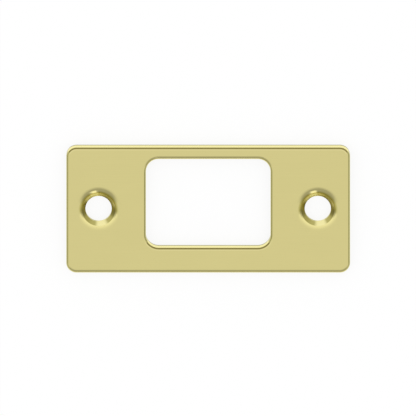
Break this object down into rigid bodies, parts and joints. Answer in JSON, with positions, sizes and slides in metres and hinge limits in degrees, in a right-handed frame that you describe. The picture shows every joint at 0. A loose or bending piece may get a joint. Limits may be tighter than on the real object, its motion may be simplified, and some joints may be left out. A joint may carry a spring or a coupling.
{
  "type": "door strike plate",
  "caption": "Flat rectangular deadbolt strike plate in polished brass, with a rounded bolt opening set off centre and a countersunk screw hole near each end.",
  "frame": {"origin": "centre of the plate's back face, which it lies on", "axes": "+X along the plate, +Y across it towards the narrow rail beside the bolt opening, +Z out of the front face"},
  "size_m": [0.0698, 0.0318, 0.0032],
  "materials": {
    "polished_brass": "mirror polished on the front and edges, satin on the back"
  },
  "bodies": {
    "root": {"strike_plate": "polished_brass"}
  },
  "joints": []
}
